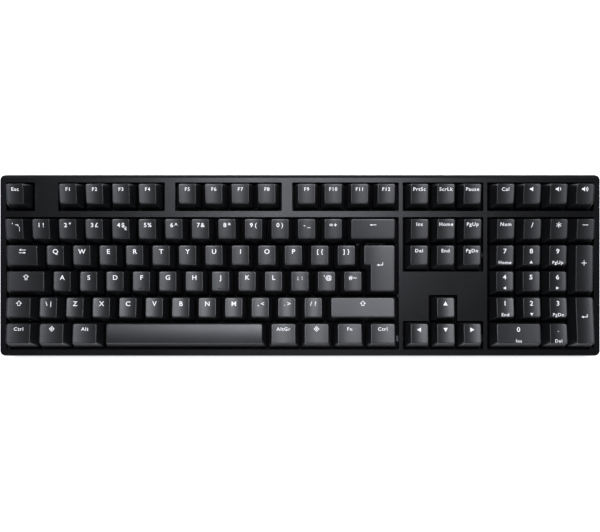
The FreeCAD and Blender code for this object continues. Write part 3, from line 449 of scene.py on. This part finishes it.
class Cap:
    """One keycap: its outline at the skirt, its row's sculpture, and its place on the deck."""

    def __init__(self, low, high):
        self.x, self.y = (low[0] + high[0]) / 2, (low[1] + high[1]) / 2
        self.width, self.depth = high[0] - low[0], high[1] - low[1]
        self.rows = [n for n, y in ROW_Y.items() if abs(y - self.y) < self.depth / 2]
        self.space = self.width > SPACE_WIDTH_MIN
        return_key = self.depth > RETURN_DEPTH_MIN and self.width > RETURN_WIDTH_MIN
        half_x, half_y = self.width / 2, self.depth / 2
        self.xs = [-half_x, half_x]
        self.ys = [-half_y, half_y]
        solid = [[True]]
        if return_key:
            self.xs = [-half_x, -half_x + PITCH_STEP, half_x]
            self.ys = [-half_y, CAP_GAP / 2, half_y]
            solid = [[False, True], [True, True]]
        self.plan = Plan(self.xs, self.ys, solid)
        self.height = self.mean(TOP_HEIGHT)
        self.lean = math.tan(math.radians(self.mean(TOP_LEAN)))
        self.shift = self.mean(TOP_SHIFT)
        top_half = half_x - TOP_INSET_X
        self.dish_radius = (top_half**2 + DISH_DEPTH**2) / (2 * DISH_DEPTH)

    def mean(self, by_row):
        """A row's value, or the middle of two rows' values for a tall cap."""
        return sum(by_row[r] for r in self.rows) / len(self.rows)

    def top(self, x, y):
        """Height of the top's surface over the plate."""
        back = y - self.shift
        lean = back * self.lean
        if self.space:
            crown = self.height + ARCH_RISE + back * ARCH_LEAN - ARCH_RADIUS
            return crown + math.sqrt(ARCH_RADIUS**2 - back * back)
        return self.height + lean + self.dish_radius - math.sqrt(self.dish_radius**2 - x * x)

    def lines(self, share, inset):
        """The outline's lines at a share of the way from the skirt to the top, drawn in by inset."""
        middle = (self.xs[0] + self.xs[-1]) / 2
        xs = []
        for x in self.xs:
            way = 1 if x < middle else -1
            xs.append(x + way * (TOP_INSET_X * share + inset))
        front = (TOP_INSET_Y + self.shift) * share + inset
        rear = (TOP_INSET_Y - self.shift) * share + inset
        ys = [y + front for y in self.ys[:-1]] + [self.ys[-1] - rear]
        return xs, ys

    def ring(self, share, inset, radius, height_at):
        """Rim vertices of one level, as points."""
        xs, ys = self.lines(share, inset)
        points = []
        for i, j in self.plan.rim():
            x, y = self.plan.point(i, j, xs, ys, radius)
            points.append((x, y, height_at(x, y)))
        return points

    def wall_height(self, share, below):
        """Height at a share of the wall: flat at the skirt, following the top's lean further up."""
        edge = DISH_DEPTH if not self.space else 0.0
        return lambda x, y: (1 - share) * SKIRT_Z + share * (
            self.top(x, y) * share + (self.height + edge) * (1 - share) - below)

    def build(self, bm):
        """The whole shell: outer wall, rounded edge, top, rim of the skirt and hollow inside."""
        outer = []
        outer.append(self.ring(0, SKIRT_ROUND, BASE_RADIUS, lambda x, y: SKIRT_Z))
        outer.append(self.ring(0, 0, BASE_RADIUS, lambda x, y: SKIRT_Z + SKIRT_ROUND))
        for share in WALL_SHARES:
            radius = BASE_RADIUS + (TOP_RADIUS - BASE_RADIUS) * share
            outer.append(self.ring(share, 0, radius, self.wall_height(share, EDGE_RADIUS * share)))
        for step in range(1, EDGE_STEPS):
            angle = math.radians(90 * step / EDGE_STEPS)
            inset = EDGE_RADIUS * (1 - math.cos(angle))
            drop = EDGE_RADIUS * (1 - math.sin(angle))
            outer.append(self.ring(1, inset, TOP_RADIUS, lambda x, y: self.top(x, y) - drop))
        inner = [self.ring(0, WALL - SKIRT_ROUND, INNER_RADIUS, lambda x, y: SKIRT_Z)]
        inner.append(self.ring(0, WALL, INNER_RADIUS, lambda x, y: SKIRT_Z + SKIRT_ROUND))
        rings = [self.verts(bm, r) for r in outer]
        for lower, upper in zip(rings, rings[1:]):
            self.bridge(bm, lower, upper)
        self.lid(bm, rings[-1], EDGE_RADIUS, TOP_RADIUS, self.top, False)
        inside = [self.verts(bm, r) for r in inner]
        self.bridge(bm, inside[0], rings[0])
        self.bridge(bm, inside[1], inside[0])
        roof = self.verts(bm, self.ring(1, WALL, INNER_RADIUS, self.roof))
        self.bridge(bm, roof, inside[1])
        self.lid(bm, roof, WALL, INNER_RADIUS, self.roof, True)

    def roof(self, x, y):
        """Height of the hollow's end over the plate."""
        return self.height - ROOF + (y - self.shift) * self.lean

    def verts(self, bm, points):
        """Vertices at points that are given from the cap's middle."""
        return [bm.verts.new((self.x + x, self.y + y, z)) for x, y, z in points]

    def bridge(self, bm, lower, upper):
        """Faces between two rings of equal length."""
        for n in range(len(lower)):
            m = (n + 1) % len(lower)
            bm.faces.new((lower[n], lower[m], upper[m], upper[n]))

    def lid(self, bm, ring, inset, radius, height_at, flip):
        """Fills the top's outline with the plan's grid, joined to an existing ring."""
        xs, ys = self.lines(1, inset)
        verts = dict(zip(self.plan.rim(), ring))
        for i, j in self.plan.cells():
            quad = []
            for key in ((i, j), (i + 1, j), (i + 1, j + 1), (i, j + 1)):
                if key not in verts:
                    x, y = self.plan.point(*key, xs, ys, radius)
                    verts[key] = bm.verts.new((self.x + x, self.y + y, height_at(x, y)))
                quad.append(verts[key])
            bm.faces.new(reversed(quad) if flip else quad)

    def add_boss(self, bm, x, y):
        """Round post with a cross-shaped socket round the stem at (x, y)."""
        def ring(outline, z):
            return [bm.verts.new((x + a, y + b, z)) for a, b in outline]

        top_z = self.roof(x - self.x, y - self.y) + BOSS_BITE
        outer = circle_points(BOSS_RADIUS, BOSS_SIDES)
        hole = cross_points()
        low_out, high_out = ring(outer, BOSS_Z), ring(outer, top_z)
        low_in, high_in = ring(hole, BOSS_Z), ring(hole, top_z - SOCKET_END)
        self.bridge(bm, low_out, high_out)
        self.bridge(bm, high_in, low_in)
        bm.faces.new(high_out)
        bm.faces.new(list(reversed(high_in)))
        edges = []
        for rim in (low_out, low_in):
            for n in range(len(rim)):
                edges.append(bm.edges.get((rim[n], rim[(n + 1) % len(rim)])))
        bmesh.ops.triangle_fill(bm, use_beauty=True, edges=edges, normal=(0, 0, -1))


def circle_points(radius, count):
    angles = [2 * math.pi * n / count for n in range(count)]
    return [(radius * math.cos(a), radius * math.sin(a)) for a in angles]


def cross_points():
    """Outline of the socket's cross, anticlockwise."""
    arm, half_x, half_y = CROSS_ARM, CROSS_HALF_X, CROSS_HALF_Y
    half = [(arm, -half_y), (arm, half_y), (half_x, half_y), (half_x, arm), (-half_x, arm), (-half_x, half_y)]
    return half + [(-x, -y) for x, y in half]


# ---------------------------------------------------------------- legends
def text_mesh(text, height):
    """Bold text as a thin closed mesh in millimetres, its capitals' middle at the origin."""
    curve = bpy.data.curves.new("legend", "FONT")
    curve.body = text
    curve.size = height / CAPITAL_SHARE
    curve.offset = BOLDNESS * curve.size
    curve.extrude = LEGEND_DEPTH / 2
    curve.resolution_u = 4
    curve.space_character = LETTER_SPACING
    curve.align_x = "CENTER"
    obj = bpy.data.objects.new("legend", curve)
    bpy.context.scene.collection.objects.link(obj)
    bpy.context.view_layer.update()
    mesh = bpy.data.meshes.new_from_object(obj)
    bpy.data.objects.remove(obj)
    bpy.data.curves.remove(curve)
    bm = bmesh.new()
    bm.from_mesh(mesh)
    bpy.data.meshes.remove(mesh)
    bmesh.ops.remove_doubles(bm, verts=bm.verts, dist=1e-5)
    bmesh.ops.translate(bm, verts=bm.verts, vec=(0, -height / 2, 0))
    bmesh.ops.scale(bm, verts=bm.verts, vec=(LETTER_STRETCH, 1, 1))
    return bm


def outline_mesh(shapes):
    """Flat icon as a thin closed mesh, from closed outlines of points in millimetres."""
    bm = bmesh.new()
    for points in shapes:
        low = [bm.verts.new((x, y, -LEGEND_DEPTH / 2)) for x, y in points]
        high = [bm.verts.new((x, y, LEGEND_DEPTH / 2)) for x, y in points]
        bm.faces.new(high)
        bm.faces.new(list(reversed(low)))
        for n in range(len(points)):
            m = (n + 1) % len(points)
            bm.faces.new((low[n], low[m], high[m], high[n]))
    bmesh.ops.recalc_face_normals(bm, faces=bm.faces)
    return bm


def line(x0, y0, x1, y1, width=STROKE):
    """Straight stroke as an outline."""
    along = Vector((x1 - x0, y1 - y0)).normalized() * width / 2
    side = Vector((-along.y, along.x))
    start = Vector((x0, y0)) - along
    end = Vector((x1, y1)) + along
    return [tuple(corner) for corner in (start - side, end - side, end + side, start + side)]


def arc_band(radius, half_angle, steps=8):
    """Part of a ring, open to the left, round the origin."""
    angles = [math.radians(half_angle * (2 * n / steps - 1)) for n in range(steps + 1)]
    outer, inner = radius + STROKE / 2, radius - STROKE / 2
    return ([(outer * math.cos(a), outer * math.sin(a)) for a in angles]
            + [(inner * math.cos(a), inner * math.sin(a)) for a in reversed(angles)])


def moved(points, dx, dy):
    return [(x + dx, y + dy) for x, y in points]


def turned(points, quarters):
    """Points turned anticlockwise by quarters of a turn."""
    for _ in range(quarters):
        points = [(-y, x) for x, y in points]
    return points


def triangle(size):
    """Pointing to the right."""
    return [(-size * 0.5, -size * 0.6), (size * 0.6, 0), (-size * 0.5, size * 0.6)]


def framed(outer, width):
    """Strokes round a closed outline."""
    return [line(*outer[n], *outer[(n + 1) % len(outer)], width) for n in range(len(outer))]


def arrow_left(length):
    """Line with a head at its left end."""
    return [line(-length / 2 + 0.9, 0, length / 2, 0), triangle_at(-length / 2 + 0.6, 0, 1.2, 2)]


def triangle_at(x, y, size, quarters):
    """Triangle that points right, or is turned anticlockwise by quarters."""
    return moved(turned(triangle(size), quarters), x, y)


def speaker():
    """Cone with a small box behind it, facing right."""
    return [[(-1.9, -0.5), (-1.1, -0.5), (0.0, -1.4), (0.0, 1.4), (-1.1, 0.5), (-1.9, 0.5)]]


def up_outline():
    """Broad arrow that points away from the typist."""
    return [(-1.6, 0.1), (-0.75, 0.1), (-0.75, -1.2), (0.75, -1.2), (0.75, 0.1), (1.6, 0.1), (0, 1.6)]


def scaled(shapes, size):
    return [[(x * size, y * size) for x, y in points] for points in shapes]


def star(reach, strokes):
    """Strokes through one point, evenly turned; the first is upright."""
    made = []
    for n in range(strokes):
        angle = math.pi * (0.5 + n / strokes)
        x, y = reach * math.cos(angle), reach * math.sin(angle)
        made.append(line(-x, -y, x, y))
    return made


# simple marks, as closed outlines of points in millimetres
RETURN_ARROW = [line(1.6, 1.0, 1.6, -0.4), line(-0.8, -0.4, 1.6, -0.4), triangle_at(-1.2, -0.4, 1.2, 2)]
ICONS = {
    "tab": [line(-1.4, 1.0, 2.3, 1.0), triangle_at(-1.6, 1.0, 1.4, 2),
            line(-2.3, -1.0, 1.4, -1.0), triangle_at(1.6, -1.0, 1.4, 0)],
    "shift": scaled(framed(up_outline(), THIN_STROKE), 1.15),
    "caps": scaled(framed([(x, y * 0.8 + 0.35) for x, y in up_outline()], THIN_STROKE)
                   + [line(-0.75, -1.45, 0.75, -1.45, THIN_STROKE)], 1.15),
    "backspace": arrow_left(4.4),
    "enter": scaled(RETURN_ARROW, 1.2),
    "system": scaled(framed([(0, 1.35), (1.35, 0), (0, -1.35), (-1.35, 0)], 0.4)
                     + [[(0, 0.6), (-0.6, 0), (0, -0.6), (0.6, 0)]], 1.25),
    "plus": star(1.65, 2),
    "minus": [line(-1.75, 0, 1.75, 0)],
    "times": star(1.75, 3),
    "mute": scaled(speaker(), 1.2),
    "quieter": scaled(speaker() + [moved(arc_band(1.0, 50), 0.1, 0)], 1.2),
    "louder": scaled(speaker() + [arc_band(0.9, 50), arc_band(1.7, 50)], 1.2),
}
for quarters, direction in enumerate(("right", "up", "left", "down")):
    ICONS[direction] = [triangle_at(0, 0, ARROW, quarters)]
    ICONS["small " + direction] = [triangle_at(0, 0, SMALL_ARROW, quarters)]


def word(text):
    """The marks of a key with one word; a mark is text or an icon, height, x and y."""
    return [(text, WORD, 0, WORD_Y)]


def words(texts):
    """One key for each word."""
    return [word(text) for text in texts.split()]


def letters(text):
    """One key for each character."""
    return [[(c, LETTER, 0, LETTER_Y)] for c in text]


def pairs(texts):
    """One key for each pair of characters side by side, and a third to their lower right."""
    keys = []
    for text in texts.split():
        marks = []
        for character, x in zip(text, (-PAIR_GAP, PAIR_GAP)):
            marks.append((character, LETTER * PAIR_SHARE, x, LETTER_Y))
        if len(text) == 3:
            marks.append((text[2], SMALL, THIRD_X, THIRD_Y))
        keys.append(marks)
    return keys


def icon(name, x=0.0, y=LETTER_Y):
    return [(ICONS[name], 0, x, y)]


def pad_key(digit, below=None):
    """A digit with a word or a small arrow in front of it."""
    marks = [(digit, LETTER, 0, DIGIT_Y)]
    if below in ICONS:
        return marks + icon(below, 0, BELOW_ICON_Y)
    if below:
        marks.append((below, SMALL, 0, BELOW_WORD_Y))
    return marks


# marks by node, its keys in order from the back row to the front and from left to right
LEGENDS = {
    "key_escape": [word("Esc")],
    "keys_f1_to_f4": words("F1 F2 F3 F4"),
    "keys_f5_to_f8": words("F5 F6 F7 F8"),
    "keys_f9_to_f12": words("F9 F10 F11 F12"),
    "keys_print_scroll_pause": words("PrtSc ScrLk Pause"),
    "keys_media": [word("Cal"), icon("mute", 0.8, WORD_Y), icon("quieter", 0.2, WORD_Y),
                   icon("louder", 0, WORD_Y)],
    "keys_number_row": pairs("`¬¦ 1! 2\" 3£ 4$€ 5% 6^ 7& 8* 9( 0) -_ =+"),
    "key_backspace": [icon("backspace")],
    "key_tab": [icon("tab")],
    "keys_upper_letters": letters("QWERTYUIOP") + pairs("[{ ]}"),
    "key_enter": [icon("enter", 0.5)],
    "key_caps_lock": [icon("caps")],
    "keys_home_letters": letters("ASDFGHJKL") + pairs(";: '@ #~"),
    "key_shift_left": [icon("shift")],
    "keys_lower_letters": pairs("\\|") + letters("ZXCVBNM") + pairs(",< .> /?"),
    "key_shift_right": [icon("shift")],
    "key_control_left": [word("Ctrl")],
    "key_system_left": [icon("system", 0, WORD_Y)],
    "key_alt_left": [word("Alt")],
    "key_space": [[]],
    "key_alt_right": [word("AltGr")],
    "key_system_right": [icon("system", 0, WORD_Y)],
    "key_function": [word("Fn")],
    "key_control_right": [word("Ctrl")],
    "keys_navigation": words("Ins Home PgUp Del End PgDn"),
    "key_arrow_up": [icon("up")],
    "key_arrow_left": [icon("left")],
    "key_arrow_down": [icon("down")],
    "key_arrow_right": [icon("right")],
    "keys_pad_operators": [word("Num"), letters("/")[0], icon("times"), icon("minus")],
    "keys_pad_digits": [pad_key("7", "Home"), pad_key("8", "small up"), pad_key("9", "PgUp"),
                        pad_key("4", "small left"), pad_key("5"), pad_key("6", "small right"),
                        pad_key("1", "End"), pad_key("2", "small down"), pad_key("3", "PgDn"),
                        pad_key(".", "Del")],
    "key_pad_zero": [pad_key("0", "Ins")],
    "key_pad_plus": [icon("plus", 0, 3.8)],
    "key_pad_enter": [icon("enter", 0, DIGIT_Y)],
}


def add_legend(bm, cap, marks):
    """Lays a key's marks on its dished top."""
    for shape, height, x, y in marks:
        mark = text_mesh(shape, height) if isinstance(shape, str) else outline_mesh(shape)
        bmesh.ops.translate(mark, verts=mark.verts, vec=(x, y + cap.shift, 0))
        slice_along_x(mark)
        for vert in mark.verts:
            vert.co.z += cap.top(vert.co.x, vert.co.y) - LEGEND_DEPTH / 2 + LEGEND_LIFT
        bmesh.ops.translate(mark, verts=mark.verts, vec=(cap.x, cap.y, 0))
        mesh = bpy.data.meshes.new("legend")
        mark.to_mesh(mesh)
        mark.free()
        bm.from_mesh(mesh)
        bpy.data.meshes.remove(mesh)


def slice_along_x(bm):
    """Cuts the mark into narrow strips, so that it can follow the dish."""
    low = min(v.co.x for v in bm.verts)
    high = max(v.co.x for v in bm.verts)
    cuts = int((high - low) / SLICE)
    for n in range(1, cuts + 1):
        geometry = bm.verts[:] + bm.edges[:] + bm.faces[:]
        cut = (low + n * SLICE, 0, 0)
        bmesh.ops.bisect_plane(bm, geom=geometry, dist=1e-6, plane_co=cut, plane_no=(1, 0, 0))


# ---------------------------------------------------------------- keys
def add_homing_bar(bm, cap):
    """Short raised bar near the front edge of the top."""
    y = BAR_Y + cap.shift
    end = BAR_HALF + BAR_RADIUS * BAR_END_REACH
    rings = []
    for x, size in ((-end, BAR_END_SIZE), (-BAR_HALF, 1), (BAR_HALF, 1), (end, BAR_END_SIZE)):
        z = cap.top(x, y) + BAR_RISE
        ring = circle_points(BAR_RADIUS * size, BAR_SIDES)
        rings.append(cap.verts(bm, [(x, y + a, z + b) for a, b in ring]))
    for first, second in zip(rings, rings[1:]):
        cap.bridge(bm, second, first)
    bm.faces.new(rings[0])
    bm.faces.new(list(reversed(rings[-1])))


def build_keys(node):
    """Caps, legends and stems of one key node, each as a piece on the node's body."""
    bm, islands = solids_of(node)
    caps, stems = [], []
    for island in islands:
        low, high = extent(island)
        if high[0] - low[0] > CAP_WIDTH_MIN:
            caps.append(Cap(low, high))
            bmesh.ops.delete(bm, geom=island, context="VERTS")
        else:
            stems.append(((low[0] + high[0]) / 2, (low[1] + high[1]) / 2))
    caps.sort(key=lambda c: (-round(c.y), c.x))
    shells = bmesh.new()
    legends = bmesh.new()
    for n, cap in enumerate(caps):
        cap.build(shells)
        for x, y in stems:
            if abs(x - cap.x) < cap.width / 2 and abs(y - cap.y) < cap.depth / 2:
                cap.add_boss(shells, x, y)
        if n in HOMING.get(node, ()):
            add_homing_bar(shells, cap)
        add_legend(legends, cap, LEGENDS[node][n])
    short = node.replace("keys_", "").replace("key_", "")
    bmesh.ops.recalc_face_normals(shells, faces=shells.faces)
    shell = new_object("caps_" + short, shells, node, CAP_PLASTIC, True)
    new_object("stems_" + short, bm, node, STEM_PLASTIC, False)
    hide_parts(node)
    if legends.verts:
        new_object("legends_" + short, legends, node, LEGEND_INK, False)
    else:
        legends.free()


for key_node in sorted(n for n in frame["nodes"] if n.startswith("key")):
    build_keys(key_node)


# ---------------------------------------------------------------- carried-over nodes
NODE_MATERIALS = {
    "top_case": CASE_PLASTIC,
    "bottom_case": CASE_PLASTIC,
    "foot_left": CASE_PLASTIC,
    "foot_right": CASE_PLASTIC,
    "switch_plate": PLATE_PAINT,
    "circuit_board": BOARD_MASK,
    "switch_lower_housings": SWITCH_PLASTIC,
    "switch_upper_housings": SWITCH_PLASTIC,
    "stabilizer_housings": SWITCH_PLASTIC,
    "switch_contacts": BRASS,
    "diodes": CHIP_PLASTIC,
    "controller_chip": CHIP_PLASTIC,
    "rubber_pads": RUBBER,
    "foot_pad_left": RUBBER,
    "foot_pad_right": RUBBER,
    "case_screws": SCREW_STEEL,
    "plate_screws": SCREW_STEEL,
}


def dress_nodes():
    """Materials for the CAD nodes that stay: springs, stabiliser wires and inlet are bright steel."""
    for name, obj in frame["nodes"].items():
        if not name.startswith("key"):
            obj.data.materials.clear()
            obj.data.materials.append(NODE_MATERIALS.get(name, BRIGHT_STEEL))


dress_nodes()


# ---------------------------------------------------------------- stage, lights and camera
def build_stage():
    """Pale floor that reaches well past the view and glows a little, as a lit studio table does."""
    bm = bmesh.new()
    bmesh.ops.create_grid(bm, x_segments=1, y_segments=1, size=FLOOR_REACH)
    mesh = bpy.data.meshes.new("floor")
    bm.to_mesh(mesh)
    bm.free()
    mat, tree, shader = new_material("floor", (FLOOR_GRAY, FLOOR_GRAY, FLOOR_GRAY), 0.9)
    shader.inputs["Emission Color"].default_value = (1, 1, 1, 1)
    shader.inputs["Emission Strength"].default_value = FLOOR_GLOW
    mesh.materials.append(mat)
    floor = bpy.data.objects.new("floor", mesh)
    bpy.context.scene.collection.objects.link(floor)


def area_light(name, place, size, power):
    """Soft light at a place over the deck, in millimetres, aimed at its middle."""
    light = bpy.data.lights.new(name, "AREA")
    light.shape = "RECTANGLE"
    light.size, light.size_y = size
    light.energy = power
    light.color = LIGHT_COLOR
    obj = bpy.data.objects.new(name, light)
    obj.location = DECK @ Vector(place)
    obj.rotation_mode = "QUATERNION"
    obj.rotation_quaternion = (DECK @ Vector((0, 0, 0)) - obj.location).to_track_quat("-Z", "Y")
    bpy.context.scene.collection.objects.link(obj)


def build_world():
    """Dim white surroundings."""
    world = bpy.data.worlds.new("studio")
    world.use_nodes = True
    background = world.node_tree.nodes["Background"]
    background.inputs["Color"].default_value = (1, 1, 1, 1)
    background.inputs["Strength"].default_value = WORLD_STRENGTH
    bpy.context.scene.world = world


def build_camera():
    """Camera that looks square down on the deck, with the back of the keyboard at the top."""
    camera = bpy.data.cameras.new("camera")
    camera.lens = CAMERA_LENS
    camera.sensor_width = SENSOR_WIDTH
    camera.clip_start, camera.clip_end = CLIP_RANGE
    obj = bpy.data.objects.new("camera", camera)
    bpy.context.scene.collection.objects.link(obj)
    obj.rotation_mode = "QUATERNION"
    obj.location = DECK @ Vector((0, 0, BEZEL_Z + CAMERA_HEIGHT))
    obj.rotation_quaternion = DECK.to_3x3().normalized().to_quaternion()
    bpy.context.scene.camera = obj


build_stage()
build_world()
for light_name, light_place, light_size, light_power in LIGHTS:
    area_light(light_name, light_place, light_size, light_power)
build_camera()
bpy.context.scene.view_settings.view_transform = "Standard"
